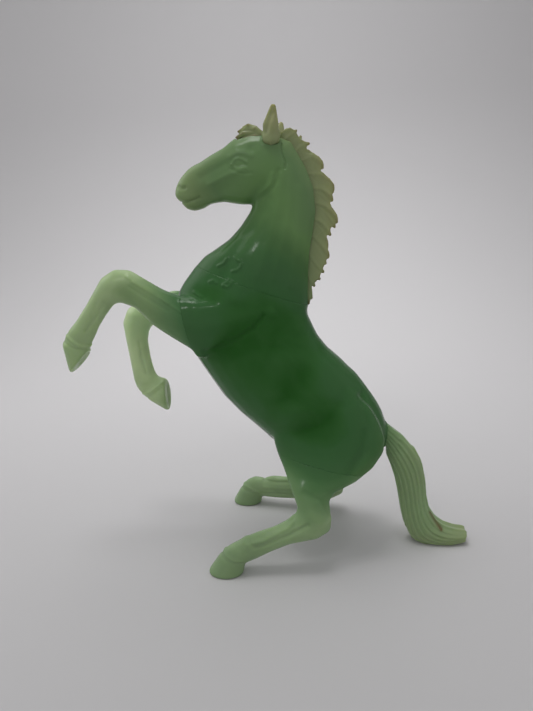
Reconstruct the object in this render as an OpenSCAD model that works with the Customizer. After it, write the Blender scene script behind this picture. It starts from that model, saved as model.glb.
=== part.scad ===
// Rearing horse figurine in translucent green, standing on its two hind hooves and its tail.
// It faces -X, its left (near) side is -Y, and the surface it stands on is z = 0.
// Each piece is one region of a single flowing form, so the pieces meet face to face.

/* [Body] */
// Width of the belly at its fullest
barrel_w = 30; // [26:1:34]
// Width across the shoulders
chest_w = 26; // [23:1:29]
// Width across the hips
rump_w = 27; // [24:1:30]
// Width of the neck at its foot
neck_base_w = 20; // [17:1:22]
// Width of the neck behind the jaw
throat_w = 10.5; // [9:0.5:12]

/* [Head] */
// Width across the cheeks
cheek_w = 12.8; // [11:0.2:14]
// Width of the muzzle
muzzle_w = 8; // [7:0.2:9]
// Height of an ear above the poll
ear_h = 10; // [8:0.5:11]
// Width of an ear, seen from the side
ear_w = 4.9; // [4:0.2:5.6]
// Thickness of an ear at its root
ear_t = 3.2; // [2.6:0.2:3.8]

/* [Hair] */
// Thickness of the mane where it leaves the crest
mane_t = 2.2; // [1.6:0.2:3]
// Thickness of the mane at its outer edge
mane_edge_t = 1.2; // [1:0.2:1.6]
// Thickness of the forelock
forelock_t = 4; // [3:0.5:5]
// Width of the tail where it leaves the rump
dock_w = 7; // [6:0.5:8]
// Width of the tail where it rests
tail_foot_w = 11; // [9:0.5:13]

/* [Legs] */
// Distance from the middle to the centre of each foreleg
foreleg_y = 11; // [10:0.5:12]
// Distance from the middle to the centre of each hind hoof
hind_hoof_y = 25; // [24:0.5:26]
// Thickness of a leg at the middle of the cannon, seen from the front
cannon_w = 5.6; // [5:0.2:6.4]
// Thickness of a leg at the knee, seen from the front
knee_w = 7.6; // [7:0.2:8.4]
// Width of a hoof at its sole
hoof_w = 9; // [8:0.5:10]

/* [Dowels] */
// Diameter of the dowel between neck and body
neck_dowel_d = 5; // [4:0.5:6]
// Diameter of the dowels in the legs
leg_dowel_d = 4; // [3:0.5:4.5]
// Diameter of the dowel in the tail
tail_dowel_d = 3.5; // [3:0.5:4]
// Glue gap around a dowel, on the radius
glue_gap = 0.1; // [0.05:0.05:0.2]

/* [Fineness] */
// Points around each cross-section
ring_n = 28; // [20:4:36]

/* [Hidden] */
$fn = 32;

near = -1;
far = 1;
body_green = [0.18, 0.36, 0.17];
leg_green = [0.45, 0.56, 0.38];
hair_olive = [0.54, 0.55, 0.38];

// A station is one cross-section of the form: [front x, front z, back x, back z, half width, y].
// The front point is the one towards the nose or the top of a leg, the back one is opposite.
trunk = [
    [ -3,   122,    9.5, 140.5, throat_w / 2, 0],
    [ -5,   118.5, 14,   132.5, throat_w / 2 + 0.6, 0],
    [ -8,   114.5, 16.3, 126.5, throat_w / 2 + 1, 0],
    [-12,   110.5, 17,   119,   throat_w / 2 + 1.6, 0],
    [-17,   107.3, 16,   112,   neck_base_w / 2 - 2, 0],
    [-21,   105,   14.8, 106,   neck_base_w / 2 - 0.8, 0],
    [-25,   101,   14.2,  98.5, neck_base_w / 2 + 0.2, 0],
    [-28,    97,   14,    91,   chest_w / 2 - 1.6, 0],
    [-30.5,  93,   13.8,  84.4, chest_w / 2 - 0.7, 0],
    [-31.5,  88,   17.2,  77,   chest_w / 2, 0],
    [-30,    81.5, 20.8,  72.4, chest_w / 2 + 0.3, 0],
    [-27.8,  75.5, 25.5,  68.2, chest_w / 2 + 1, 0],
    [-25.4,  70,   30,    63.3, barrel_w / 2 - 0.5, 0],
    [-21,    63,   34,    58,   barrel_w / 2, 0],
    [-16.6,  56.3, 37.3,  53,   barrel_w / 2, 0],
    [-11.5,  50.7, 39.6,  48.6, barrel_w / 2 - 0.5, 0],
    [ -5.4,  45.2, 41.2,  44.8, rump_w / 2, 0],
    [ -0.2,  40.4, 41.8,  41,   rump_w / 2 - 1, 0]];

head = [
    [  9.5, 140.5, -3,   122,   throat_w / 2, 0],
    [  3.5, 143,   -3.5, 121.9, cheek_w / 2 - 0.8, 0],
    [ -3,   143.3, -5,   121.9, cheek_w / 2 - 0.2, 0],
    [ -9,   142,   -7,   121.8, cheek_w / 2, 0],
    [-13,   140.2, -9.5, 122.3, cheek_w / 2 - 0.3, 0],
    [-17,   138.4, -13,  123,   cheek_w / 2 - 1.2, 0],
    [-21,   136.2, -17,  122.5, muzzle_w / 2 + 0.5, 0],
    [-25,   133.8, -20.3, 121.2, muzzle_w / 2, 0],
    [-27.8, 131,   -23.7, 120.4, muzzle_w / 2, 0],
    [-29.4, 128.3, -26,  121.2, muzzle_w / 2 - 0.6, 0],
    [-29.9, 126,   -28,  123.5, muzzle_w / 2 - 1.6, 0]];

function foreleg_root(side) = [
    [  2,  90,    5,  84,  2.6, side * (foreleg_y - 2.5)],
    [ -8,  91.5, -4,  79.5, 4,  side * (foreleg_y - 2.2)],
    [-17,  91.5, -13, 75,  4.8, side * (foreleg_y - 1.9)],
    [-23,  91,  -21,  71.8, 5,  side * (foreleg_y - 1.6)]];

near_fore = concat(foreleg_root(near), [
    [-28.5, 92,   -25.8, 75.2, 5.1, near * (foreleg_y - 1.2)],
    [-34.5, 95.2, -31.5, 79, 4.9, near * (foreleg_y - 0.6)],
    [-39.5, 98.5, -37, 83,   4.6, near * foreleg_y],
    [-44.5, 101.6, -43, 89.2, knee_w / 2, near * foreleg_y],
    [-49.5, 101.9, -47.5, 91, knee_w / 2 + 0.1, near * foreleg_y],
    [-54,   99.3, -49.8, 91, knee_w / 2, near * foreleg_y],
    [-56.5, 95.8, -51.5, 90, cannon_w / 2 + 0.6, near * foreleg_y],
    [-60,   90.8, -54.2, 86.8, cannon_w / 2, near * foreleg_y],
    [-64.5, 85,   -57, 83,   cannon_w / 2, near * foreleg_y],
    [-67.3, 82,   -58.6, 80,   cannon_w / 2 + 0.4, near * foreleg_y],
    [-68.8, 79.8, -60.3, 77.2, cannon_w / 2 + 0.2, near * foreleg_y],
    [-70.4, 77,   -61, 75.9, hoof_w / 2 - 0.9, near * foreleg_y]]);
near_fore_sole = [-68.5, 66.3, -61.2, 74.6, hoof_w / 2, near * foreleg_y];

far_fore = concat(foreleg_root(far), [
    [-28.5, 91.8, -25.4, 75.5, 5, far * (foreleg_y - 1.2)],
    [-36,   92.5, -31.5, 79, 4.6, far * (foreleg_y - 0.6)],
    [-44,   91,   -38, 80.5, 4.2, far * foreleg_y],
    [-50,   89,   -43, 80.8, knee_w / 2, far * foreleg_y],
    [-54.5, 85.8, -46, 79.5, knee_w / 2 + 0.1, far * foreleg_y],
    [-56.7, 81,   -47.2, 77.5, knee_w / 2, far * foreleg_y],
    [-56.2, 75,   -48, 74, cannon_w / 2 + 0.4, far * foreleg_y],
    [-55.2, 66,   -47.4, 67, cannon_w / 2, far * foreleg_y],
    [-54.4, 58.5, -46.3, 62, cannon_w / 2, far * foreleg_y],
    [-53.4, 55.2, -45.6, 60, cannon_w / 2 + 0.4, far * foreleg_y],
    [-51.5, 52.8, -44.5, 59.2, cannon_w / 2 + 0.3, far * foreleg_y],
    [-49,   50.2, -43.4, 58.8, hoof_w / 2 - 0.9, far * foreleg_y]]);
far_fore_sole = [-41.2, 45.5, -41.8, 58.4, hoof_w / 2, far * foreleg_y];

function thigh(side) = [
    [14,  60,   29,  60,   3.5, side * 7],
    [ 6,  52,   34.5, 54,  5.6, side * 7.8],
    [ 2.8, 46,  38,  48,   6.4, side * 8.4],
    [ 2.2, 42,  40,  42.5, 6.6, side * 9],
    [ 3.4, 38.5, 39.3, 38.2, 6.4, side * 10],
    [ 4.8, 35.4, 35.8, 33.4, 6, side * 11.7]];

near_hind = concat(thigh(near), [
    [ 6,   32.6, 30,   29.2, 5.3, near * 13.8],
    [ 7.3, 29.7, 23,   26.6, 4.5, near * 16.5],
    [ 9,   26.3, 20.8, 24.3, 4, near * 18.8],
    [10.7, 22.3, 21.6, 19,   3.8, near * 20.5],
    [ 9.7, 20,   21.2, 15,   3.7, near * 21.3],
    [ 7,   18.2, 17.2, 12.4, 3.3, near * 22],
    [ 2.8, 16.1,  8,   10.6, cannon_w / 2 + 0.1, near * 22.8],
    [-2.5, 14.5,  1.5,  8,   cannon_w / 2, near * 23.6],
    [-7,   12.9, -3.4,  5.6, cannon_w / 2, near * 24.3],
    [-10,  11.3, -6.4,  4.6, cannon_w / 2 + 0.4, near * 24.8],
    [-13,   9.6, -7.5,  4,   cannon_w / 2 + 0.2, near * hind_hoof_y],
    [-15.8, 6.8, -8,    3,   hoof_w / 2 - 0.9, near * hind_hoof_y]]);

far_hind = concat(thigh(far), [
    [ 6,   32.6, 31,   29.2, 5.4, far * 13.8],
    [ 8,   28,   26,   24.5, 4.7, far * 16.3],
    [10,   23,   26,   19.5, 4.3, far * 18.3],
    [11.5, 17.5, 27.2, 13.5, 4, far * 20],
    [11,   14.5, 26.3,  7.2, 3.8, far * 21],
    [ 8.5, 13.2, 21,    3.9, 3.5, far * 21.8],
    [ 4,   12.6,  9.5,  3.5, cannon_w / 2 + 0.2, far * 22.6],
    [-2.5, 12.7,  0,    3.2, cannon_w / 2, far * 23.4],
    [-7,   11.4, -5,    3.2, cannon_w / 2, far * 24.1],
    [-10.5, 11.6, -7,   3.3, cannon_w / 2 + 0.5, far * 24.7],
    [-13.8, 10,   -8,   3,   cannon_w / 2 + 0.3, far * hind_hoof_y],
    [-16.5, 6.8, -8,    2.6, hoof_w / 2 - 0.9, far * hind_hoof_y]]);

// The two resting soles: the toe and the heel of each, just above the ground
sole_lift = 0.6;
poll_z = 141.5;
ear_fn = 20;
toe_x = -20;
heel_x = -8.2;

tail_run = [
    [36.5, 46,   36,   37,   dock_w / 2 - 0.5, 0],
    [41.5, 45,   40.8, 35.5, dock_w / 2, 0],
    [47.2, 40.5, 43,   30,   dock_w / 2 + 0.3, 0],
    [51.5, 35.2, 44.6, 25,   dock_w / 2 + 0.6, 0],
    [53.8, 30.5, 45.6, 20.5, dock_w / 2 + 0.8, 0],
    [55,   25,   46.4, 16,   dock_w / 2 + 1, 0],
    [55.6, 18.7, 47.2, 11,   tail_foot_w / 2 - 0.8, 0],
    [56.8, 13,   48.3,  6,   tail_foot_w / 2 - 0.5, 0],
    [59.5,  8.6, 50.5,  1,   tail_foot_w / 2 - 0.2, 0],
    [62.5,  6.3, 56,   -1.2, tail_foot_w / 2, 0],
    [66.5,  5,   63,   -1.2, tail_foot_w / 2 - 0.3, 0],
    [70.3,  4.6, 69.3,  0.4, tail_foot_w / 2 - 1.2, 0]];

// Outer edge of the mane from the poll to the withers, then its root inside the crest
mane_edge = [
    [ 5.5, 143.4], [ 7.5, 144.8], [ 9.3, 145.5], [11.3, 144.3], [12.5, 142], [15.2, 140.2],
    [14.6, 137.4], [16.8, 136.6], [19.4, 134], [19.8, 132.2], [18.9, 130.8], [21.5, 128.6],
    [23, 126], [22.8, 122.5], [22, 120], [24.3, 115.4], [23.6, 113.4], [22.4, 113], [22.2, 110.6],
    [21, 110.5], [20.6, 106.2], [21.4, 103.6], [19.6, 99.5], [18.4, 96.4], [15.8, 94], [15.4, 89.4],
    [14.3, 87.9]];
mane_root = [[12.6, 93], [12.6, 105], [14.4, 113], [15, 121], [13.6, 128], [9.5, 136], [5, 140.5]];

forelock_edge = [
    [-8.6, 139.5], [-8.3, 141.5], [-8.1, 143.2], [-7, 144.8], [-5.6, 145.8], [-3.8, 146.3],
    [-2, 145.3], [0.8, 143.9], [2, 141.5], [-2, 139.5]];

// Parting lines between the pieces, each from one [x, z] point to another
neck_line = [[-22, 101.5], [14.5, 87.7]];
foreleg_line = [[-24, 73.5], [-28.4, 94]];
hind_line = [[34, 31], [3, 38]];
tail_line_root = [[41.6, 46], [40.6, 34.5]];

// Where the dowels start and end, [x, y, z], on the near side
neck_dowel_ends = [[-5.5, 0, 85], [-1.5, 0, 103]];
foreleg_dowel_ends = [[-19, 1 - foreleg_y, 82.5], [-33, -foreleg_y, 86.8]];
hind_dowel_ends = [[20.5, -9.8, 42], [16.8, -14.6, 28.2]];
tail_dowel_ends = [[34.5, 0, 43], [46, 0, 35.5]];

reach = 200;

// Points of one cross-section, an ellipse that stands on its front and back points
function ring(s) = [for (i = [0 : ring_n - 1])
    let (a = 360 * i / ring_n)
    [(s[0] + s[2]) / 2 + (s[0] - s[2]) / 2 * cos(a),
     s[5] + s[4] * sin(a),
     (s[1] + s[3]) / 2 + (s[1] - s[3]) / 2 * cos(a)]];

// The smooth skin around one cross-section, or around two neighbouring ones
module skin(points)
    hull() polyhedron(points, [[for (i = [0 : ring_n - 1]) i],
                               [for (i = [len(points) - ring_n : len(points) - 1]) i]]);

module between(a, b)
    skin(concat(ring(a), ring(b)));

module loft(line)
    for (i = [0 : len(line) - 2]) between(line[i], line[i + 1]);

// An outline drawn in the middle plane, given a thickness
module slab(thickness)
    rotate([90, 0, 0]) linear_extrude(thickness, center = true) children();

// Everything on the left of a parting line, as seen from the near side
module left_of(line) {
    along = (line[1] - line[0]) / norm(line[1] - line[0]) * reach;
    across = [-along[1], along[0]];
    slab(reach) polygon([line[0] - along, line[1] + along, line[1] + along + across,
                         line[0] - along + across]);
}

module above_ground()
    translate([-reach, -reach, 0]) cube(2 * reach);

module rod(ends, d) {
    run = ends[1] - ends[0];
    translate(ends[0])
        rotate([0, acos(run[2] / norm(run)), atan2(run[1], run[0])])
            cylinder(h = norm(run), d = d);
}

function on_side(ends, side) = [for (e = ends) [e[0], -side * e[1], e[2]]];

module sockets() {
    rod(neck_dowel_ends, neck_dowel_d + 2 * glue_gap);
    rod(tail_dowel_ends, tail_dowel_d + 2 * glue_gap);
    for (side = [near, far]) {
        rod(on_side(foreleg_dowel_ends, side), leg_dowel_d + 2 * glue_gap);
        rod(on_side(hind_dowel_ends, side), leg_dowel_d + 2 * glue_gap);
    }
}

module foreleg_form(line, sole) {
    loft(line);
    between(line[len(line) - 1], sole);
}

module hind_form(line, side) {
    loft(line);
    hull() {
        between(line[len(line) - 2], line[len(line) - 1]);
        translate([(toe_x + heel_x) / 2, side * hind_hoof_y, 0])
            resize([heel_x - toe_x, hoof_w, sole_lift]) cylinder(h = 1, d = 1);
    }
}

module forelegs_form() {
    foreleg_form(near_fore, near_fore_sole);
    foreleg_form(far_fore, far_fore_sole);
}

module hind_legs_form() {
    hind_form(near_hind, near);
    hind_form(far_hind, far);
}

// The mane is a frill, thick at the crest and thin at its outer edge
module mane_form()
    intersection() {
        slab(mane_t) polygon(concat(mane_edge, mane_root));
        hull() {
            translate([8, 0, 114]) cube([16, mane_t, 80], center = true);
            translate([26, 0, 114]) cube([1, mane_edge_t, 80], center = true);
        }
    }

module forelock_form()
    slab(forelock_t) offset(0.4) offset(-0.4) polygon(forelock_edge);

// An ear leans from its foot to its tip
module ear_form(foot, tip)
    hull() {
        translate(foot) resize([ear_w, ear_t, 1]) sphere(d = 1, $fn = ear_fn);
        translate(foot + (tip - foot) * 0.45 - [0.4, 0, 0])
            resize([ear_w, ear_t * 0.9, 4]) sphere(d = 1, $fn = ear_fn);
        translate(tip - [0, 0, 0.6]) resize([1.7, 1, 1.2]) sphere(d = 1, $fn = ear_fn);
    }

module near_ear_form() ear_form([3.4, -3.8, 140.5], [4.4, -4.4, poll_z + ear_h]);
module far_ear_form() ear_form([4.4, 3.8, 140.5], [5.9, 5.2, poll_z + ear_h * 0.65]);

module torso()
    color(body_green)
        difference() {
            union() {
                loft(trunk);
                difference() {
                    forelegs_form();
                    left_of(foreleg_line);
                }
                difference() {
                    hind_legs_form();
                    left_of(hind_line);
                }
                difference() {
                    loft(tail_run);
                    left_of(tail_line_root);
                }
            }
            left_of(neck_line);
            sockets();
        }

module head_and_neck()
    color(body_green)
        difference() {
            intersection() {
                union() {
                    loft(trunk);
                    loft(head);
                }
                left_of(neck_line);
            }
            mane_form();
            sockets();
        }

module near_ear()
    color(hair_olive)
        difference() {
            near_ear_form();
            loft(head);
            loft(trunk);
        }

module far_ear()
    color(hair_olive)
        difference() {
            far_ear_form();
            loft(head);
            loft(trunk);
        }

module forelock()
    color(hair_olive)
        difference() {
            forelock_form();
            loft(head);
            near_ear_form();
            far_ear_form();
        }

module mane()
    color(hair_olive) mane_form();

// A foreleg, from the elbow out, with its hoof
module foreleg(line, sole)
    color(leg_green)
        difference() {
            intersection() {
                foreleg_form(line, sole);
                left_of(foreleg_line);
            }
            loft(trunk);
            sockets();
        }

module near_foreleg() foreleg(near_fore, near_fore_sole);
module far_foreleg() foreleg(far_fore, far_fore_sole);

// A hind leg, from the stifle down, with the hoof that it stands on
module hind_leg(line, side)
    color(leg_green)
        difference() {
            intersection() {
                hind_form(line, side);
                left_of(hind_line);
            }
            sockets();
        }

module near_hind_leg() hind_leg(near_hind, near);
module far_hind_leg() hind_leg(far_hind, far);

module tail()
    color(leg_green)
        difference() {
            intersection() {
                loft(tail_run);
                left_of(tail_line_root);
                above_ground();
            }
            loft(trunk);
            hind_legs_form();
            sockets();
        }

module neck_dowel() color(body_green) rod(neck_dowel_ends, neck_dowel_d);
module near_foreleg_dowel() color(body_green) rod(on_side(foreleg_dowel_ends, near), leg_dowel_d);
module far_foreleg_dowel() color(body_green) rod(on_side(foreleg_dowel_ends, far), leg_dowel_d);
module near_hind_dowel() color(body_green) rod(on_side(hind_dowel_ends, near), leg_dowel_d);
module far_hind_dowel() color(body_green) rod(on_side(hind_dowel_ends, far), leg_dowel_d);
module tail_dowel() color(body_green) rod(tail_dowel_ends, tail_dowel_d);

torso();
head_and_neck();
near_ear();
far_ear();
forelock();
mane();
near_foreleg();
far_foreleg();
near_hind_leg();
far_hind_leg();
tail();
neck_dowel();
near_foreleg_dowel();
far_foreleg_dowel();
near_hind_dowel();
far_hind_dowel();
tail_dowel();
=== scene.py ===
import math

import bpy
import numpy as np
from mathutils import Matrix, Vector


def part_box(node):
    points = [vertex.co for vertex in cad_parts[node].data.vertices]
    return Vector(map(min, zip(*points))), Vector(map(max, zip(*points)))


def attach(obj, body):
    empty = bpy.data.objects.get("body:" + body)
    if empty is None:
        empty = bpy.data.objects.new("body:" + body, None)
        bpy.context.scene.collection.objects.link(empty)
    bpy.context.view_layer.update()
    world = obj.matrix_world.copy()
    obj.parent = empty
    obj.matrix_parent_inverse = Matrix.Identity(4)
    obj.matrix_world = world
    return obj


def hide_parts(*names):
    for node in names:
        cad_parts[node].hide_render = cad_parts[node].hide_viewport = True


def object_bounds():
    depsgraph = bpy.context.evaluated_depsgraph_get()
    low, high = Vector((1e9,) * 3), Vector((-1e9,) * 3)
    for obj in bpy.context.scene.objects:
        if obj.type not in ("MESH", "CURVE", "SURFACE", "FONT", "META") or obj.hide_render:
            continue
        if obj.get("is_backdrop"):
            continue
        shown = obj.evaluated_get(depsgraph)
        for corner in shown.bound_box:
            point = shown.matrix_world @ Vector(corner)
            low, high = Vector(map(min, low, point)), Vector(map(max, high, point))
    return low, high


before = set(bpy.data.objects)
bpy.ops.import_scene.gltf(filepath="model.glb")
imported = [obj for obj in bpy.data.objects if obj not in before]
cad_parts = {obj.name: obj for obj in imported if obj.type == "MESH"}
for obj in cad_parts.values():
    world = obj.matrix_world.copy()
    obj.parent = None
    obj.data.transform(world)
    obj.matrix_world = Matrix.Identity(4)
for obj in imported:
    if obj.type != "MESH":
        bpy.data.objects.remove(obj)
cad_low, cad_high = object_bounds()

import openvdb
from mathutils import Matrix, Vector

# ---------------------------------------------------------------------------------------------
# Torso. The rump, barrel, chest and the roots of the legs, cast in one lump of clear green resin.
# It is shaped the way the wax for the mould is: the rough lump first, then the muscles laid on
# and the creases pressed in, and at last the joint faces and the holes for the dowels.
# ---------------------------------------------------------------------------------------------
MM = 0.001          # shaping is done in mm, and the scene is in metres
NEAR = -1           # the viewer's side of the horse, where y is below 0
FAR = 1
BOTH = 0
DOWELS = [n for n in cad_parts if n.endswith("_dowel")]
FLESH = [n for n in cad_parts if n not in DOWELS]
COARSE = 1.0


def skin_of(names):
    """Corners, in mm, and triangles of some CAD nodes together."""
    points, faces, start = [], [], 0
    for name in names:
        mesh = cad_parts[name].data
        mesh.calc_loop_triangles()
        co = np.empty(len(mesh.vertices) * 3, np.float32)
        tri = np.empty(len(mesh.loop_triangles) * 3, np.int32)
        mesh.vertices.foreach_get("co", co)
        mesh.loop_triangles.foreach_get("vertices", tri)
        points.append(co.reshape(-1, 3) / MM)
        faces.append(tri.reshape(-1, 3) + start)
        start += len(mesh.vertices)
    return np.concatenate(points), np.concatenate(faces)


def depth_grid(points, faces, step, reach):
    """How far each point of a lattice is from a closed skin, in mm, less than 0 inside it."""
    even = openvdb.createLinearTransform(voxelSize=step)
    kind = "quads" if faces.shape[1] == 4 else "triangles"
    sides = {kind: faces.astype(np.uint32)}
    return openvdb.FloatGrid.createLevelSetFromPolygons(
        points.astype(np.float32), transform=even, halfWidth=reach / step, **sides)


def spread(values, step, first, new_step, new_first, new_shape):
    """Values of one lattice on another one, along smooth curves between its points."""
    for axis in range(3):
        at = (np.arange(new_shape[axis]) + new_first[axis]) * new_step / step - first[axis]
        i = np.clip(np.floor(at).astype(int), 1, values.shape[axis] - 3)
        t = np.clip(at - i, 0, 1).reshape([-1 if a == axis else 1 for a in range(3)]).astype(np.float32)
        values = (np.take(values, i - 1, axis) * ((1 - t) ** 3 / 6)
                  + np.take(values, i, axis) * ((3 * t ** 3 - 6 * t ** 2 + 4) / 6)
                  + np.take(values, i + 1, axis) * ((-3 * t ** 3 + 3 * t ** 2 + 3 * t + 1) / 6)
                  + np.take(values, i + 2, axis) * (t ** 3 / 6))
    return values


class Clay:
    """A block of clay. Each point of its lattice holds its depth: the distance to the skin, in mm."""

    grids = {}

    def __init__(self, low, high, step):
        self.step = step
        self.first = np.floor(np.array(low) / step).astype(int)
        last = np.ceil(np.array(high) / step).astype(int)
        self.shape = tuple(int(n) for n in last - self.first + 1)
        along = [((np.arange(n) + a) * step).astype(np.float32)
                 for n, a in zip(self.shape, self.first)]
        self.x = along[0][:, None, None]
        self.y = along[1][None, :, None]
        self.z = along[2][None, None, :]
        self.depth = None

    def read(self, names, reach, step=None):
        """Depth to some CAD nodes. A coarser step than the clay's own saves time."""
        step = step or self.step
        key = (tuple(names), step)
        if key not in Clay.grids:
            Clay.grids[key] = depth_grid(*skin_of(names), step, reach)
        first, shape = self.first, self.shape
        if step != self.step:
            first = np.floor(self.first * self.step / step).astype(int) - 2
            last = np.ceil((self.first + np.array(self.shape)) * self.step / step).astype(int) + 3
            shape = tuple(int(n) for n in last - first)
        values = np.empty(shape, np.float32)
        Clay.grids[key].copyToArray(values, ijk=tuple(int(a) for a in first))
        if step == self.step:
            return values
        return spread(values, step, first, self.step, self.first, self.shape)

    def take(self, other):
        """Takes the form of another block of clay, over this one's own lattice."""
        self.depth = spread(other.depth, other.step, other.first, self.step, self.first, self.shape)

    def smooth(self, width, where=None):
        """Rubs the form smooth over a width in mm, everywhere or as much as where says."""
        span = int(math.ceil(2.5 * width / self.step))
        offsets = np.arange(-span, span + 1)
        weights = np.exp(-0.5 * (offsets * self.step / width) ** 2)
        weights = (weights / weights.sum()).astype(np.float32)
        soft = self.depth
        for axis in range(3):
            n = soft.shape[axis]
            padded = np.pad(soft, [(span, span) if a == axis else (0, 0) for a in range(3)], "edge")
            mixed = np.zeros_like(soft)
            for i, w in enumerate(weights):
                part = [slice(None)] * 3
                part[axis] = slice(i, i + n)
                mixed += w * padded[tuple(part)]
            soft = mixed
        if where is None:
            self.depth = soft
        else:
            self.depth = self.depth + (soft - self.depth) * where

    def block(self, points, reach):
        """The part of the lattice within reach of some points, and its x, y and z."""
        part = []
        for axis, values in enumerate((self.x, self.y, self.z)):
            values = values.ravel()
            given = [p[axis] if len(p) == 3 else p[axis // 2] for p in points]
            if len(points[0]) == 2 and axis == 1:
                part.append(slice(0, len(values)))
                continue
            a = int(np.searchsorted(values, min(given) - reach))
            b = int(np.searchsorted(values, max(given) + reach))
            part.append(slice(a, b))
        part = tuple(part)
        if any(s.stop <= s.start for s in part):
            return None, None
        return part, (self.x[part[0]], self.y[:, part[1]], self.z[:, :, part[2]])

    def gap(self, at, points):
        """Distance to a line through points. A point of two numbers is seen from the side."""
        x, y, z = at
        flat = len(points[0]) == 2
        best, share = None, None
        for i in range(max(1, len(points) - 1)):
            p = np.array(points[i], float)
            q = np.array(points[min(i + 1, len(points) - 1)], float)
            d = q - p
            size = float(d @ d) or 1.0
            if flat:
                t = np.clip(((x - p[0]) * d[0] + (z - p[1]) * d[1]) / size, 0, 1)
                g = (x - p[0] - t * d[0]) ** 2 + (z - p[1] - t * d[1]) ** 2
            else:
                t = np.clip(((x - p[0]) * d[0] + (y - p[1]) * d[1] + (z - p[2]) * d[2]) / size, 0, 1)
                g = (x - p[0] - t * d[0]) ** 2
                g = g + (y - p[1] - t * d[1]) ** 2
                g = g + (z - p[2] - t * d[2]) ** 2
            along = (i + t) / max(1, len(points) - 1)
            if best is None:
                best, share = g, along
            else:
                share = np.where(g < best, along, share)
                best = np.minimum(best, g)
        return np.sqrt(best).astype(np.float32), share

    def stroke(self, points, width, height, side=BOTH):
        """Lays a soft ridge along a line, or presses a groove where height is below 0."""
        part, at = self.block(points, 2.6 * width)
        if part is None:
            return
        gap, _ = self.gap(at, points)
        push = height * np.exp(-(gap / width) ** 2)
        if side != BOTH:
            push = push / (1 + np.exp(-side * 3.0 * at[1]))
        self.depth[part] -= push.astype(np.float32)

    def mirrored(self, points, width, height):
        """The same stroke on both sides of the horse."""
        for side in (NEAR, FAR):
            self.stroke([(p[0], side * p[1], p[2]) for p in points], width, height)

    def add(self, points, radii, melt):
        """Adds a rounded roll of clay along a line, melted into what is there over melt mm."""
        reach = max(radii) + 2 * melt + 1
        part, at = self.block(points, reach)
        if part is None:
            return
        gap, share = self.gap(at, points)
        roll = gap - np.interp(share, np.linspace(0, 1, len(radii)), radii).astype(np.float32)
        here = self.depth[part]
        h = np.clip(0.5 + 0.5 * (here - roll) / melt, 0, 1)
        self.depth[part] = here * (1 - h) + roll * h - melt * h * (1 - h)

    def cut(self, other):
        """Takes away what lies outside another form."""
        self.depth = np.maximum(self.depth, other)


LUMP_STEP = 0.4 * COARSE
SKIN_REACH = 4.0    # how far from the skin the depths are kept
FILLET = 0.4        # cracks up to twice this wide are filled
PLUMP = 0.2         # laid on all over, for what the rubbing takes off again
RUB = 0.6           # width over which the facets of the rough form are rubbed away


def lump():
    """All the pieces run together into one lump, with the cracks between them filled and the
    facets of the rough form rubbed away."""
    margin = 5
    clay = Clay(np.array(cad_low) / MM - margin, np.array(cad_high) / MM + margin, LUMP_STEP)
    few_steps = 4 * LUMP_STEP
    rough = depth_grid(*skin_of(FLESH), LUMP_STEP, few_steps)
    points, quads = rough.convertToQuads(isovalue=FILLET)
    clay.depth = np.empty(clay.shape, np.float32)
    depth_grid(points, quads, LUMP_STEP, SKIN_REACH).copyToArray(
        clay.depth, ijk=tuple(int(a) for a in clay.first))
    clay.depth += FILLET - PLUMP
    clay.smooth(RUB)
    return clay


FILL_STEP = 1.2
FILL_WIDTH = 8      # how far round a point the amount of resin counts for its colour


def fill_lattice():
    """The share of the space round each point that is resin: small in the thin parts, which look
    pale, and large in the thick ones, which look deep green."""
    margin = 3 * FILL_WIDTH
    clay = Clay(np.array(cad_low) / MM - margin, np.array(cad_high) / MM + margin, FILL_STEP)
    clay.depth = np.clip(0.5 - clay.read(FLESH, 3 * FILL_STEP) / FILL_STEP, 0, 1)
    clay.smooth(FILL_WIDTH)
    return clay


LUMP = lump()
FILL = fill_lattice()


def sample(clay, points):
    """Values of a lattice at some points, in mm, worked out between its own points."""
    at = points / clay.step - clay.first
    low = np.clip(np.floor(at).astype(int), 0, np.array(clay.shape) - 2)
    t = at - low
    total = np.zeros(len(points))
    for corner in range(8):
        bits = np.array([corner & 1, corner >> 1 & 1, corner >> 2 & 1])
        weight = np.prod(np.where(bits, t, 1 - t), axis=1)
        i = low + bits
        total += weight * clay.depth[i[:, 0], i[:, 1], i[:, 2]]
    return total


REGION_STEP = 0.5
JOINT_LAP = 0.06    # how far each piece runs past the joint, so that no light shows there


def region(clay, name):
    """Less than 0 where a point belongs to this node and more where it belongs to a neighbour."""
    own = clay.read([name], SKIN_REACH, REGION_STEP)
    rest = np.full(clay.shape, SKIN_REACH, np.float32)
    for other in FLESH:
        if other != name:
            rest = np.minimum(rest, clay.read([other], SKIN_REACH, REGION_STEP))
    return (own - rest) / 2 - JOINT_LAP


THIN_REACH = 1.5    # as far as the depths are kept where less will do
GLUE_GAP = 0.1      # room for glue round a dowel


def dowel_holes(clay):
    """Depth to the holes that the dowels are glued into, which are a little wider than they are."""
    return clay.read(DOWELS, THIN_REACH) - GLUE_GAP


NECK_JOINT = [(-22, 101.5), (14.5, 87.7)]   # seen from the side, front end first
NECK_FADE = [-5, 23]                        # heights above it between which the painted shade of the lower body fades
PAINTED_SHADE_BELOW_NECK = 0.2                           # painted shade: how much deeper the body's colour is drawn below the neck


def depth_of_tint_and_shade(points, slot):
    """How deep the resin looks: by its thickness, and in the body deeper below the neck, which is
    painted shade.
    """
    depth = sample(FILL, points)
    # painted shade: the body is drawn deeper green the lower it lies under the neck joint
    if slot == "body_resin":
        (front_x, front_z), (back_x, back_z) = NECK_JOINT
        run = back_x - front_x
        drop = front_z - back_z
        above_joint = (points[:, 0] - front_x) * drop + (points[:, 2] - front_z) * run
        above_joint = above_joint / math.hypot(run, drop)
        depth += np.interp(above_joint, NECK_FADE, [PAINTED_SHADE_BELOW_NECK, 0])
    return depth


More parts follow.
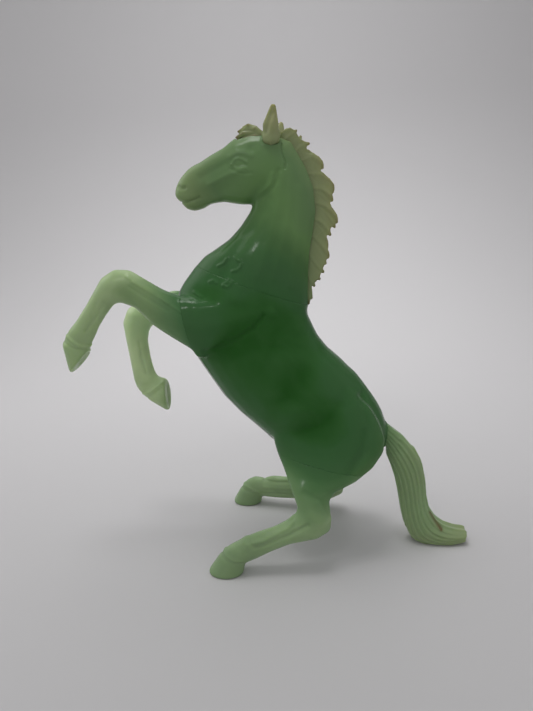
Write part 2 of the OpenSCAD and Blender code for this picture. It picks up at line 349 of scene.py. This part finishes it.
def paint(mesh, name, values):
    """Gives each corner of a piece a value that its resin reads."""
    layer = mesh.attributes.new(name, "FLOAT", "POINT")
    layer.data.foreach_set("value", values.astype(np.float32))


def cast_piece(name, clay, material, slot, browned=0):
    """Makes the closed skin of a block of clay, shades it smooth, and rides it on the horse.
    Where browned is above 0, edges that stand out are brown by up to that share."""
    grid = openvdb.FloatGrid(SKIN_REACH)
    grid.copyFromArray(clay.depth, ijk=tuple(int(a) for a in clay.first))
    grid.transform = openvdb.createLinearTransform(voxelSize=clay.step)
    points, quads = grid.convertToQuads(isovalue=0)
    points = points.astype(float)
    if browned:
        points, quads = largest_part(points, quads)
    mesh = bpy.data.meshes.new(name)
    mesh.vertices.add(len(points))
    mesh.vertices.foreach_set("co", (points * MM).astype(np.float32).ravel())
    mesh.loops.add(quads.size)
    mesh.loops.foreach_set("vertex_index", quads.astype(np.int32).ravel())
    mesh.polygons.add(len(quads))
    mesh.polygons.foreach_set("loop_start", np.arange(0, quads.size, 4, dtype=np.int32))
    mesh.polygons.foreach_set("use_smooth", np.ones(len(quads), bool))
    mesh.update(calc_edges=True)
    mesh.validate()
    # the fill carries the thickness, and in the body the painted shade below the neck as well
    paint(mesh, "fill", depth_of_tint_and_shade(points, slot))
    if browned:
        edge_width = 0.45
        clay.smooth(edge_width)
        stands_out = sample(clay, points)
        paint(mesh, "stain", np.interp(stands_out, [0.07, 0.27], [0, browned]))
    mesh.materials.append(material)
    piece = bpy.data.objects.new(name, mesh)
    bpy.context.scene.collection.objects.link(piece)
    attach(piece, "root")
    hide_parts(name.removesuffix("_cast"))
    return piece


def linear(*rgb):
    """A colour as a painter's chart gives it, 0 to 255, as the share of light that it sends back."""
    return tuple(((c / 255 + 0.055) / 1.055) ** 2.4 for c in rgb) + (1,)


def resin(name, shades, gloss):
    """Clear tinted resin: pale where it is thin, and deep green where there is much of it. The
    shades run from thin to thick. A higher gloss value is a duller skin."""
    material = bpy.data.materials.new(name)
    material.use_nodes = True
    nodes, links = material.node_tree.nodes, material.node_tree.links
    shader = nodes["Principled BSDF"]
    shader.inputs["IOR"].default_value = 1.5
    shader.inputs["Specular IOR Level"].default_value = 0.2
    place = nodes.new("ShaderNodeTexCoord").outputs["Object"]

    # faint clouds drift the tint and the gloss
    cloud = nodes.new("ShaderNodeTexNoise")
    cloud.inputs["Scale"].default_value = 90
    cloud.inputs["Detail"].default_value = 3
    cloud.inputs["Distortion"].default_value = 0.6
    links.new(place, cloud.inputs["Vector"])
    fill = nodes.new("ShaderNodeAttribute")
    fill.attribute_name = "fill"
    drift = nodes.new("ShaderNodeMath")
    drift.operation = "MULTIPLY_ADD"
    drift.inputs[1].default_value = 0.07
    links.new(cloud.outputs["Fac"], drift.inputs[0])
    links.new(fill.outputs["Fac"], drift.inputs[2])
    ramp = nodes.new("ShaderNodeValToRGB")
    stops = ramp.color_ramp.elements
    stops[0].position, stops[0].color = shades[0]
    stops[1].position, stops[1].color = shades[-1]
    for position, colour in shades[1:-1]:
        stops.new(position).color = colour
    links.new(drift.outputs[0], ramp.inputs["Fac"])

    # brown on the edges of the hair and in the tail
    stain = nodes.new("ShaderNodeAttribute")
    stain.attribute_name = "stain"
    tint = nodes.new("ShaderNodeMix")
    tint.data_type = "RGBA"
    tint.inputs["B"].default_value = linear(104, 80, 48)
    links.new(stain.outputs["Fac"], tint.inputs["Factor"])
    links.new(ramp.outputs["Color"], tint.inputs["A"])
    links.new(tint.outputs["Result"], shader.inputs["Base Color"])

    # light soaks through the thin parts and hardly into the thick ones
    soak = nodes.new("ShaderNodeMapRange")
    soak.inputs["From Min"].default_value = 0.07
    soak.inputs["From Max"].default_value = 0.27
    soak.inputs["To Min"].default_value = 0.85
    soak.inputs["To Max"].default_value = 0.12
    links.new(fill.outputs["Fac"], soak.inputs["Value"])
    links.new(soak.outputs["Result"], shader.inputs["Subsurface Weight"])
    shader.inputs["Subsurface Scale"].default_value = 0.0025
    shader.inputs["Subsurface Radius"].default_value = (0.9, 1.0, 0.6)

    # the skin of the mould: a little uneven in gloss, with fine ripples
    rough = nodes.new("ShaderNodeMapRange")
    rough.inputs["To Min"].default_value = gloss - 0.04
    rough.inputs["To Max"].default_value = gloss + 0.08
    links.new(cloud.outputs["Fac"], rough.inputs["Value"])
    links.new(rough.outputs["Result"], shader.inputs["Roughness"])
    ripple = nodes.new("ShaderNodeTexNoise")
    ripple.inputs["Scale"].default_value = 400
    ripple.inputs["Detail"].default_value = 2
    links.new(place, ripple.inputs["Vector"])
    bump = nodes.new("ShaderNodeBump")
    bump.inputs["Strength"].default_value = 0.12
    bump.inputs["Distance"].default_value = 0.0004
    links.new(ripple.outputs["Fac"], bump.inputs["Height"])
    links.new(bump.outputs["Normal"], shader.inputs["Normal"])
    return material


POLISHED = 0.16
body_resin = resin("body_resin", [(0.10, linear(148, 170, 124)), (0.18, linear(133, 156, 107)),
                                  (0.28, linear(108, 140, 93)), (0.36, linear(109, 146, 89)),
                                  (0.44, linear(82, 120, 70)), (0.49, linear(71, 113, 65)),
                                  (0.54, linear(65, 107, 62)), (0.62, linear(58, 105, 56)),
                                  (0.65, linear(49, 100, 43)), (0.69, linear(31, 88, 22))], POLISHED)


def torso_relief(clay):
    """Muscles and creases of the chest, shoulders, barrel and quarters."""
    # pectorals with the furrow between them
    clay.mirrored([(-27, 6, 93), (-26.5, 6.5, 86)], 5, 0.9)
    clay.stroke([(-31.5, 0, 95), (-32.5, 0, 88), (-31, 0, 81), (-27, 0, 73)], 1.5, -0.6)
    # shoulder blade, upper arm and the crease behind it down to the elbow
    clay.stroke([(-2, 100), (-12, 92), (-20, 88)], 5.5, 0.6)
    clay.stroke([(-18, 81), (-10, 83.5), (-4, 87.5)], 4.2, 0.5)
    clay.stroke([(-24, 90.5), (-16, 90), (-9, 91.5)], 2.6, 0.45)
    clay.stroke([(-20.5, 74), (-15.9, 75.5), (-12, 77.1), (-8, 79), (-3.5, 81.8), (0, 86)], 0.8, -0.5)
    clay.mirrored([(-22.4, 12, 72.8)], 2, 1.2)
    # folds of the skin over the chest
    for fold in ([(-14.8, 102.2), (-12.8, 103.1), (-12, 104.4)],
                 [(-9.2, 104.9), (-8.3, 103.9), (-7.4, 103.7)],
                 [(-9.9, 100.4), (-8.2, 100.8), (-7.1, 101.7), (-6.9, 102.6)],
                 [(-17.8, 97.1), (-16.5, 97.5), (-15.4, 96.9)],
                 [(-13.1, 96.2), (-11.4, 97), (-11, 97.7)],
                 [(-10.1, 96.9), (-11.4, 95.4), (-13, 95.8)],
                 [(-23.5, 93.9), (-21.9, 92.9), (-20.5, 92.4)]):
        clay.stroke(fold, 0.45, 0.34)
    # flank, stifle, thigh and buttock
    clay.stroke([(12, 66), (8, 58)], 5, -0.8)
    clay.stroke([(20, 66), (24, 61)], 4, 0.5)
    clay.stroke([(31.5, 0, 63.2), (35.7, 0, 58.2), (39, 0, 51)], 3.5, 0.4)
    clay.stroke([(9, 54), (6, 46), (6.5, 39)], 4.5, 0.8)
    clay.stroke([(32, 57), (34, 48), (32.5, 40), (28, 33)], 1.6, -0.6)
    clay.stroke([(39.5, 0, 36), (36, 0, 31), (30, 0, 27)], 1.6, -2)


def horse(low, high, step):
    """The whole horse's form round one piece, rubbed smooth, with the muscles laid on."""
    clay = Clay(low, high, step * COARSE)
    clay.take(LUMP)
    torso_relief(clay)
    return clay


def round_node(name, margin=2.5):
    """A box round a CAD node, in mm, with room for what is laid on it."""
    low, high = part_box(name)
    return np.array(low) / MM - margin, np.array(high) / MM + margin


TORSO_STEP = 0.35   # spacing of the lattice that it is shaped on
torso = horse(*round_node("torso"), TORSO_STEP)
torso.cut(region(torso, "torso"))
torso.cut(-dowel_holes(torso))
cast_piece("torso_cast", torso, body_resin, "body_resin")

# ---------------------------------------------------------------------------------------------
# Head and neck. One casting down to a flat joint above the shoulders, with a slot along the
# crest that takes the mane. The face is worked in the wax with small tools.
# ---------------------------------------------------------------------------------------------
def head_relief(clay):
    """The face: cheek, eye, crest below it, nostril, lips, and the line of the throat."""
    # cheek plate with the hollow of the throat behind it
    clay.stroke([(-1, 130.5), (-3, 129)], 4.6, 0.7)
    clay.stroke([(5.5, 131.5), (5.1, 128.6), (3.8, 126.6), (1.8, 124.9), (-0.8, 123.4)], 0.8, -0.36)
    clay.stroke([(3.7, 130.5), (3.3, 128), (1.7, 126.2), (-0.6, 125)], 0.7, 0.25)
    clay.stroke([(6.5, 139.8), (6.6, 137), (7.3, 135.4), (8, 133.8), (7.7, 132.1)], 0.35, -0.4)
    clay.stroke([(-18, 0, 121.3), (-10, 0, 120.8), (-4, 0, 120.5)], 1.4, -0.5)
    clay.stroke([(-10.5, 0, 122.3), (-5, 0, 122.2)], 2.2, 0.2)
    # dished bridge of the nose below a full forehead
    clay.stroke([(-20.5, 0, 136.9), (-17.5, 0, 138.2), (-13.5, 0, 140)], 2.4, -0.6)
    clay.stroke([(-9.5, 0, 142)], 2.2, 0.3)
    # bone below the eye, and the hollows above and below it
    clay.stroke([(-6, 132), (-10.4, 130.8), (-14.3, 129.3), (-17.4, 128.2)], 0.95, 0.4)
    clay.stroke([(-9.5, 127.6), (-14, 126.2), (-18, 125.4)], 1.7, -0.35)
    clay.stroke([(-11.5, 134.2), (-16, 132.4), (-20, 130.6)], 1.4, -0.35)
    clay.stroke([(-2.8, 138.6)], 1.5, -0.35)
    # eye in its socket, with the brow over it
    clay.stroke([(-7, 134.2)], 2.5, -0.4)
    clay.stroke([(-9.8, 136.6), (-7.6, 137.7), (-4.9, 137.5), (-2.8, 136.4)], 0.9, 0.28)
    clay.mirrored([(-7.1, 5.0, 134.2)], 1.25, 0.7)
    clay.stroke([(-9.2, 134.1), (-8.4, 135.3), (-7.1, 135.8), (-5.7, 135.3), (-4.5, 134.4)], 0.38, 0.26)
    clay.stroke([(-9.3, 133.9), (-8.2, 132.9), (-6.8, 132.5), (-5.5, 132.7), (-4.4, 132.4)], 0.36, 0.16)
    clay.stroke([(-9.5, 132.5), (-7.3, 131.3), (-5, 130.9), (-2.8, 131.1)], 0.4, -0.16)
    # nostril, lips and chin
    clay.mirrored([(-26.8, 3.1, 127.9)], 1.7, 0.35)
    clay.mirrored([(-27.9, 3.1, 128.3), (-26.9, 3.7, 127.6), (-25.7, 3.9, 127.7)], 0.6, -0.8)
    clay.stroke([(-28.4, 125.2), (-26, 124.8), (-23.6, 125)], 1.1, 0.2)
    mouth = [(-27.6, 123.5), (-26.1, 123.2), (-24.4, 123.4), (-22.6, 123.9), (-21, 124.6)]
    clay.stroke(mouth, 0.42, -0.45)
    clay.stroke([(-28.6, 0, 122.4)], 0.9, -0.8)
    clay.stroke([(-25.6, 121.9), (-23.4, 122.3)], 0.9, 0.3)


def neck_relief(clay):
    """Long soft streaks down the neck, and the channel along its lower edge."""
    clay.stroke([(2, 123), (-3, 115), (-9, 107), (-13, 99)], 1.8, -0.4)
    for line in ([(10, 132), (9.5, 122), (7, 110), (4, 98)],
                 [(7, 130), (5.5, 121), (2.5, 110), (-1.5, 99)],
                 [(12.5, 126), (12, 116), (10.5, 105), (9, 95)]):
        clay.stroke(line, 1.3, 0.16)


def head_form(low, high, step):
    """The head and neck, as one casting, in a box of clay."""
    clay = horse(low, high, step)
    neck_relief(clay)
    head_relief(clay)
    clay.cut(region(clay, "head_and_neck"))
    return clay


PIECE_STEP = 0.25   # spacing of the lattice for the head, and for the limbs too
head = head_form(*round_node("head_and_neck"), PIECE_STEP)
head.cut(-dowel_holes(head))
cast_piece("head_and_neck_cast", head, body_resin, "body_resin")

# ---------------------------------------------------------------------------------------------
# Ears. Two small cupped leaves of the same resin, so thin that they look yellow, set on the
# poll beside the forelock. The hollow of each one opens outwards and forwards.
# ---------------------------------------------------------------------------------------------
hair_resin = resin("hair_resin", [(0.10, linear(164, 166, 122)), (0.20, linear(152, 162, 118)),
                                  (0.32, linear(134, 150, 106)), (0.42, linear(106, 134, 84))], 0.24)


TUFT_STEP = 0.14
EAR_PLUMP = 0.12
EAR_RUB = 0.25


def largest_part(points, quads):
    """Leaves out the crumbs that a cut may leave beside the piece itself. Each corner takes on the
    lowest number among its neighbours until every part has one number of its own."""
    mark = np.arange(len(points))
    settled = False
    while not settled:
        least = mark[quads].min(axis=1)
        passed_on = mark.copy()
        for corner in range(4):
            np.minimum.at(passed_on, quads[:, corner], least)
        passed_on = passed_on[passed_on]
        settled = np.array_equal(passed_on, mark)
        mark = passed_on
    owner = mark[quads[:, 0]]
    kept = owner == np.bincount(owner).argmax()
    used, index = np.unique(quads[kept], return_inverse=True)
    return points[used], index.reshape(-1, 4)


def ear(name, hollow, rim):
    """One ear: the leaf, the roll round its root, the hollow, and the seat on the head cut away."""
    low, high = round_node(name, 2.2)
    seat = head_form(low, high, PIECE_STEP)
    leaf = Clay(low, high, TUFT_STEP)
    leaf.depth = leaf.read([name], THIN_REACH) - EAR_PLUMP
    leaf.smooth(EAR_RUB)
    leaf.add(rim, [0.8, 1.1, 1.35, 1.1, 0.8], 0.9)
    leaf.stroke(hollow, 0.85, -0.8)
    root = Clay(low, high, TUFT_STEP)
    root.take(seat)
    leaf.cut(-root.depth - JOINT_LAP)
    cast_piece(name + "_cast", leaf, hair_resin, "hair_resin", browned=0.5)


ear("near_ear", [(2.0, -5.4, 143.6), (2.6, -5.7, 146), (3.7, -5.3, 148.8)],
    [(1.0, -2.8, 143.2), (2.0, -3.7, 141.7), (3.4, -4.1, 140.7), (4.8, -3.8, 141.5), (6.0, -2.9, 143.2)])
ear("far_ear", [(3.6, 5.8, 143), (4.2, 6.3, 144.5), (5.2, 6.0, 146.8)],
    [(2.0, 2.9, 143.2), (3.1, 3.9, 141.7), (4.5, 4.3, 140.7), (5.9, 4.0, 141.5), (7.1, 3.0, 143.2)])

# ---------------------------------------------------------------------------------------------
# Forelock. A swept tuft between the ears, made of a few locks that fan over the forehead.
# ---------------------------------------------------------------------------------------------
low, high = round_node("forelock", 1.5)
seat = head_form(low, high, PIECE_STEP)
tuft = Clay(low, high, TUFT_STEP)
tuft.take(seat)
roots = tuft.depth
room_for_locks = 0.55
tuft.depth = tuft.read(["forelock"], THIN_REACH) + room_for_locks
for i, lock in enumerate(([(1.4, 142), (-2, 142.6), (-5.4, 142.2), (-8, 141.2)],
                          [(1.2, 142.8), (-2.2, 144), (-5.8, 143.9), (-8.2, 142.9)],
                          [(0.8, 143.2), (-2.2, 145), (-5.2, 145.4), (-7.4, 144.6)],
                          [(0.4, 143.4), (-2, 145.3), (-4.2, 146.1), (-5.8, 145.9)])):
    for side in (NEAR, FAR):
        y = side * (1.25 - 0.16 * i)
        wavy = [(x, y + 0.25 * math.sin(3 * i + x), z) for x, z in lock]
        tuft.add(wavy, [0.7, 0.95, 0.8, 0.35], 0.3)
tuft.cut(-roots - JOINT_LAP)
cast_piece("forelock_cast", tuft, hair_resin, "hair_resin", browned=0.9)

# ---------------------------------------------------------------------------------------------
# Mane. A thin frill that stands in a slot along the crest. Its locks leave the crest, bend over
# and end in points one below another, which gives the ragged outer edge.
# ---------------------------------------------------------------------------------------------
LOCKS = [
    [(4.5, 141.5), (6.5, 143.2), (8.4, 144.6)],
    [(6.5, 140.5), (9.5, 143), (11.2, 144)],
    [(9, 138.5), (12, 141), (12.6, 142.2)],
    [(10.5, 137.5), (13.2, 139.6), (15.2, 139.9)],
    [(11.5, 136), (14, 137.6), (16.6, 136.4)],
    [(12.5, 135), (16.5, 136), (19.1, 133.9), (19.6, 132.3)],
    [(13.5, 132.5), (16.5, 133), (18.4, 130.9)],
    [(14, 131), (18.5, 130.6), (21.3, 128.4)],
    [(14.5, 129), (19.5, 129.4), (22.7, 126.6), (22.8, 124.6)],
    [(15, 126.5), (19.5, 126), (22, 123.6), (22.6, 122)],
    [(15.5, 124.5), (19.5, 123), (21.9, 120.2)],
    [(15.8, 122.5), (20.5, 120.6), (23.6, 117), (24.1, 115)],
    [(16, 120), (20, 118), (22.6, 115), (23.4, 113.5)],
    [(16, 117.5), (19.5, 115), (21.9, 111)],
    [(15.8, 115), (18.6, 112.6), (20.6, 108.6), (20.8, 106.6)],
    [(15.4, 112), (18.4, 109), (20.9, 105), (21.2, 103.6)],
    [(15, 109), (17.8, 105.6), (20.3, 101.6)],
    [(14.6, 106), (17, 102), (19.5, 98.8)],
    [(14.2, 103), (16.2, 99.4), (18.2, 96.4)],
    [(14, 100), (15.2, 96.4), (16.4, 94.2)],
    [(13.8, 97), (14.8, 93.5), (15.4, 90)],
    [(13.6, 94), (14.3, 91), (14.4, 88.2)],
]


def curve_through(points, count):
    """Points evenly along the smooth curve through a few given ones."""
    points = np.array(points, float)
    ends = np.concatenate([[2 * points[0] - points[1]], points, [2 * points[-1] - points[-2]]])
    line = []
    for t in np.linspace(0, len(points) - 1, count):
        i = min(int(t), len(points) - 2)
        u = t - i
        a, b, c, d = ends[i:i + 4]
        line.append(0.5 * (2 * b + (c - a) * u + (2 * a - 5 * b + 4 * c - d) * u ** 2
                           + (3 * b - a - 3 * c + d) * u ** 3))
    return np.array(line)


low, high = round_node("mane", 1.5)
seat = head_form(low, high, PIECE_STEP)
frill = Clay(low, high, 0.2)
frill.take(seat)
crest = frill.depth
frill.take(LUMP)
inside = frill.depth
slab = frill.read(["mane"], THIN_REACH)
room_for_strands = 0.35
in_the_slot = 1.2
frill.depth = slab + room_for_strands
for i, lock in enumerate(LOCKS):
    line = curve_through(lock, 7)
    side = NEAR if i % 2 else FAR
    for strand in range(3):
        lean = (strand - 1) * 0.55
        shift = np.linspace(1, 0.35, 7)
        y = side * (0.45 - 0.2 * strand) * np.linspace(1, 0.4, 7)
        points = [(x + lean * s * 0.5, v, z + lean * s) for (x, z), v, s in zip(line, y, shift)]
        frill.add(points, [0.36, 0.5, 0.48, 0.28], 0.4)
frill.cut(-crest - JOINT_LAP)
frill.depth = np.minimum(frill.depth, np.maximum(slab, inside + in_the_slot))
cast_piece("mane_cast", frill, hair_resin, "hair_resin", browned=0.7)

# ---------------------------------------------------------------------------------------------
# Forelegs. Each is cast from the elbow out, knee bent and hoof tucked, and glued to the
# shoulder over a dowel. Thin enough for light to come through, so they look pale.
# ---------------------------------------------------------------------------------------------
# painted light: the forelegs' shades are paler than the hind legs', for light from the backdrop that
# comes through the raised legs
leg_resin = resin("leg_resin", [(0.10, linear(162, 186, 137)), (0.14, linear(176, 199, 150)),
                                (0.18, linear(146, 173, 122)), (0.26, linear(108, 143, 97)),
                                (0.32, linear(80, 122, 76)), (0.38, linear(66, 111, 65))], POLISHED)


def cast_limb(name, relief, material):
    """A limb cut from the horse's form, with its dowel hole, and flat where it meets the ground."""
    clay = horse(*round_node(name), PIECE_STEP)
    relief(clay)
    clay.cut(region(clay, name))
    clay.cut(-dowel_holes(clay))
    clay.cut(np.broadcast_to(-clay.z, clay.shape))
    return cast_piece(name + "_cast", clay, material, "leg_resin")


def near_foreleg_relief(clay):
    """Tendons, knee and hoof of the near foreleg."""
    # long tendons of the forearm, knee bones, tendons behind the cannon
    clay.stroke([(-44.4, 99.9), (-39.5, 96.8), (-34.5, 94), (-31, 90.9)], 0.5, 0.26, NEAR)
    clay.stroke([(-42.3, 98), (-37.7, 95.1), (-32.8, 92), (-26.3, 87.5)], 0.5, 0.26, NEAR)
    clay.stroke([(-43.5, 96.5), (-38, 93), (-31, 88.5)], 0.6, -0.18, NEAR)
    clay.stroke([(-50, 97.5)], 2, 0.3, NEAR)
    clay.stroke([(-46, 92.8)], 1.6, 0.3, NEAR)
    clay.stroke([(-52.8, 91.5), (-58, 85.2), (-60.5, 82)], 0.5, -0.35, NEAR)
    # band where the hoof begins, and its sole
    band = [(-68.6, 80.3), (-66.9, 79.4), (-65.2, 78.3), (-63.5, 77.1), (-60.3, 76.3)]
    clay.stroke(band, 0.5, 0.3, NEAR)
    clay.stroke([(-69.2, 78.2), (-65.6, 76.4), (-61.4, 75.2)], 0.5, -0.2, NEAR)
    clay.stroke([(-65.2, -11, 70.2), (-63, -11, 72.8)], 1.5, -0.5)


def far_foreleg_relief(clay):
    """Tendons, knee and hoof of the far foreleg."""
    # forearm, knee, and the tendon behind the cannon
    clay.stroke([(-46, 86.8), (-40, 85.5), (-33, 84.5)], 0.8, 0.35, FAR)
    clay.stroke([(-52, 84.5)], 2, 0.3, FAR)
    clay.stroke([(-50.3, 74), (-49.8, 67), (-48.6, 61.5)], 0.5, -0.35, FAR)
    # band where the hoof begins, and its sole
    clay.stroke([(-52, 52.2), (-48.9, 53.7), (-46.3, 55), (-42.9, 57.6)], 0.5, 0.3, FAR)
    clay.stroke([(-50, 50.6), (-46.5, 52.8), (-42.8, 55.6)], 0.5, -0.2, FAR)
    clay.stroke([(-41.2, 11, 49.5), (-41.4, 11, 54.5)], 1.7, -0.6)


cast_limb("near_foreleg", near_foreleg_relief, leg_resin)

# painted light: the far foreleg takes a still paler copy of the leg resin, for light that reaches it
# from behind, and looks the palest of the four
far_leg_painted_light = resin("far_leg_painted_light", [(0.10, linear(160, 184, 135)), (0.14, linear(204, 224, 175)),
                                (0.19, linear(190, 220, 164)), (0.28, linear(98, 136, 88)),
                                (0.36, linear(74, 117, 68))], POLISHED)
cast_limb("far_foreleg", far_foreleg_relief, far_leg_painted_light)

# ---------------------------------------------------------------------------------------------
# Hind legs. Cast from the stifle down, crouched under the body with the cannon almost level.
# The flat sole of each hoof carries the horse.
# ---------------------------------------------------------------------------------------------
def near_hind_relief(clay):
    """Tendons of the cannon, point of the hock, and hoof of the near hind leg."""
    clay.stroke([(-4.4, 12.4), (-0.6, 13.2), (2, 14.5), (7.1, 17), (9, 19)], 0.6, 0.45, NEAR)
    clay.stroke([(-3.5, 10.8), (1, 12.2), (8, 15), (14, 18.4)], 0.6, -0.4, NEAR)
    clay.stroke([(15, 21.5), (18.5, 18.5)], 1.6, 0.4, NEAR)
    clay.stroke([(13, 28), (18, 25.5), (20.5, 20)], 0.9, -0.4, NEAR)
    clay.stroke([(-7.2, 12.3), (-5.6, 11.6)], 0.8, 0.3, NEAR)
    clay.stroke([(-15.4, 9.4), (-13, 7.8), (-10.8, 6.8), (-7.8, 6.4)], 0.5, 0.3, NEAR)
    clay.stroke([(-16, 7.6), (-13, 6.2), (-8, 5)], 0.5, -0.2, NEAR)


def far_hind_relief(clay):
    """Tendons of the cannon, point of the hock, and hoof of the far hind leg."""
    clay.stroke([(-6.3, 11.1), (-1, 11), (4.2, 11.3), (11, 12.6)], 0.6, -0.4, FAR)
    clay.stroke([(-7.3, 5.8), (-1.2, 6), (4.8, 6.1), (14, 7)], 0.6, -0.4, FAR)
    clay.stroke([(-6, 8.6), (4, 8.8), (12, 10)], 0.8, 0.3, FAR)
    clay.stroke([(18, 16), (22.5, 11)], 1.8, 0.4, FAR)
    clay.stroke([(-16.4, 8.8), (-13, 8), (-10.6, 6.9), (-8, 6.2)], 0.5, 0.3, FAR)
    clay.stroke([(-16.8, 7.2), (-13, 6.2), (-8, 4.8)], 0.5, -0.2, FAR)


# the same resin as the forelegs, in the deeper shades it shows without their painted backlight
hind_resin = resin("hind_resin", [(0.10, linear(134, 159, 118)), (0.14, linear(152, 177, 132)),
                                  (0.19, linear(122, 153, 107)), (0.25, linear(90, 129, 81)),
                                  (0.30, linear(72, 114, 67)), (0.35, linear(65, 107, 62))], POLISHED)
cast_limb("near_hind_leg", near_hind_relief, hind_resin)
cast_limb("far_hind_leg", far_hind_relief, hind_resin)

# ---------------------------------------------------------------------------------------------
# Tail. A thick fall of hair from the dock to the ground, where it turns up and out and props
# the horse. The strands are long and run with the tail.
# ---------------------------------------------------------------------------------------------
TAIL_BACK = [(41.5, 45), (47.2, 40.5), (51.5, 35.2), (53.8, 30.5), (55, 25), (55.6, 18.7), (56.8, 13),
             (59.5, 8.6), (62.5, 6.3), (66.5, 5), (70.3, 4.6)]
TAIL_FRONT = [(40.8, 35.5), (43, 30), (44.6, 25), (45.6, 20.5), (46.4, 16), (47.2, 11), (48.3, 6),
              (50.5, 1), (56, -1.2), (63, -1.2), (69.3, 0.4)]


def tail_relief(clay):
    """Strands: ridges and grooves in turn, down both sides and along both edges of the tail."""
    back = curve_through(TAIL_BACK, 24)
    front = curve_through(TAIL_FRONT, 24)
    t = np.linspace(0, 1, 24)
    strands = 13
    for i in range(strands):
        share = (i + 0.6) / strands + 0.025 * np.sin(5 * t + 2.3 * i)
        line = front + (back - front) * share[:, None]
        start = 2 if i % 2 else 0
        for side in (NEAR, FAR):
            clay.stroke([tuple(p) for p in line[start:]], 0.42, 0.3 if i % 2 else -0.28, side)
    for edge in (back, front):
        for i in range(5):
            y = (i - 2) * 1.9 + 0.4 * np.sin(6 * t + i)
            clay.stroke([(x, v, z) for (x, z), v in zip(edge, y)], 0.6, 0.4 if i % 2 else -0.4)


tail_resin = resin("tail_resin", [(0.10, linear(146, 161, 119)), (0.14, linear(142, 160, 118)),
                                  (0.19, linear(141, 167, 121)), (0.27, linear(120, 150, 104)),
                                  (0.36, linear(90, 128, 78))], 0.34)
tail = cast_limb("tail", tail_relief, tail_resin)

# a brown wisp of colour that sank into the near side of the tail, near its turn
wisp = curve_through([(57.2, 12), (58.8, 9.1), (60.9, 6.1)], 12)
wisp_width = 0.6
skin = np.empty(len(tail.data.vertices) * 3)
tail.data.vertices.foreach_get("co", skin)
skin = skin.reshape(-1, 3) / MM
away = np.min(np.hypot(skin[:, None, 0] - wisp[:, 0], skin[:, None, 2] - wisp[:, 1]), axis=1)
near_side = np.interp(-skin[:, 1], [0.8, 3], [0, 1])
paint(tail.data, "stain", 0.95 * near_side * np.exp(-(away / wisp_width) ** 2))

# ---------------------------------------------------------------------------------------------
# Dowels. Short turned pins of the same resin in the joints, out of sight once it is glued.
# ---------------------------------------------------------------------------------------------
as_turned = 0.42
dowel_resin = resin("dowel_resin", [(0.10, linear(118, 146, 98)),
                                    (0.28, linear(76, 112, 64))], as_turned)
for name in DOWELS:
    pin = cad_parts[name]
    pin.data.materials.clear()
    pin.data.materials.append(dowel_resin)

# ---------------------------------------------------------------------------------------------
# Stage. A pale sweep of card, soft lamps over it, and the eye of the viewer, who looks a little
# down on the horse from 18 cm in front of it.
# ---------------------------------------------------------------------------------------------
def sweep():
    """A sheet of pale card that lies under the horse and curves up into a backdrop."""
    front, bend_from, bend, top, half_width = -0.9, 0.25, 0.28, 1.4, 1.6
    profile = [(front, 0), (bend_from, 0)]
    for i in range(1, 17):
        a = math.radians(90 * i / 16)
        profile.append((bend_from + bend * math.sin(a), bend - bend * math.cos(a)))
    profile.append((bend_from + bend, top))
    points = [(side * half_width, y, z) for y, z in profile for side in (-1, 1)]
    faces = [(2 * i, 2 * i + 1, 2 * i + 3, 2 * i + 2) for i in range(len(profile) - 1)]
    mesh = bpy.data.meshes.new("sweep")
    mesh.from_pydata(points, [], faces)
    mesh.polygons.foreach_set("use_smooth", np.ones(len(faces), bool))
    card = bpy.data.materials.new("card")
    card.use_nodes = True
    shader = card.node_tree.nodes["Principled BSDF"]
    shader.inputs["Base Color"].default_value = (0.62, 0.61, 0.62, 1)
    shader.inputs["Roughness"].default_value = 0.9
    shader.inputs["Specular IOR Level"].default_value = 0.2
    mesh.materials.append(card)
    floor = bpy.data.objects.new("sweep", mesh)
    bpy.context.scene.collection.objects.link(floor)
    floor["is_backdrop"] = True


def lamp(name, place, aim, size, power, spread_angle):
    """A soft square lamp that looks at a point. A grid over it may narrow its beam."""
    light = bpy.data.lights.new(name, "AREA")
    light.size = size
    light.energy = power
    light.spread = math.radians(spread_angle)
    shade = bpy.data.objects.new(name, light)
    shade.location = place
    shade.rotation_euler = (Vector(aim) - Vector(place)).to_track_quat("-Z", "Y").to_euler()
    bpy.context.scene.collection.objects.link(shade)


sweep()
lamp("high", (-0.1, 0, 0.95), (0, 0.32, 0), 0.3, 0.375, 60)
lamp("behind", (-0.05, 0.3, 0.7), (0, 0.33, 0), 0.4, 0.42, 110)
lamp("side", (-0.6, 0.1, 0.5), (0, 0.1, 0.05), 0.6, 0.7, 150)
lamp("window", (-0.16, -0.5, 0.55), (0, 0, 0.07), 0.045, 0.07, 120)

sky = bpy.data.worlds.new("sky")
sky.use_nodes = True
glow = sky.node_tree.nodes["Background"]
glow.inputs["Color"].default_value = (1, 1, 1, 1)
glow.inputs["Strength"].default_value = 0.44
bpy.context.scene.world = sky
bpy.context.scene.view_settings.view_transform = "Standard"

eye = bpy.data.cameras.new("eye")
eye.sensor_width = 36
eye.lens = 27.04
eye.clip_start = 0.01
viewer = bpy.data.objects.new("eye", eye)
viewer.location = (0.021515, -0.183884, 0.1106)
right = (0.993, 0.1134, -0.0327)
up = (0.0074, 0.217, 0.9761)
behind = (0.1178, -0.9696, 0.2147)
viewer.rotation_euler = Matrix([right, up, behind]).transposed().to_euler()
bpy.context.scene.collection.objects.link(viewer)
bpy.context.scene.camera = viewer

low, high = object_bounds()
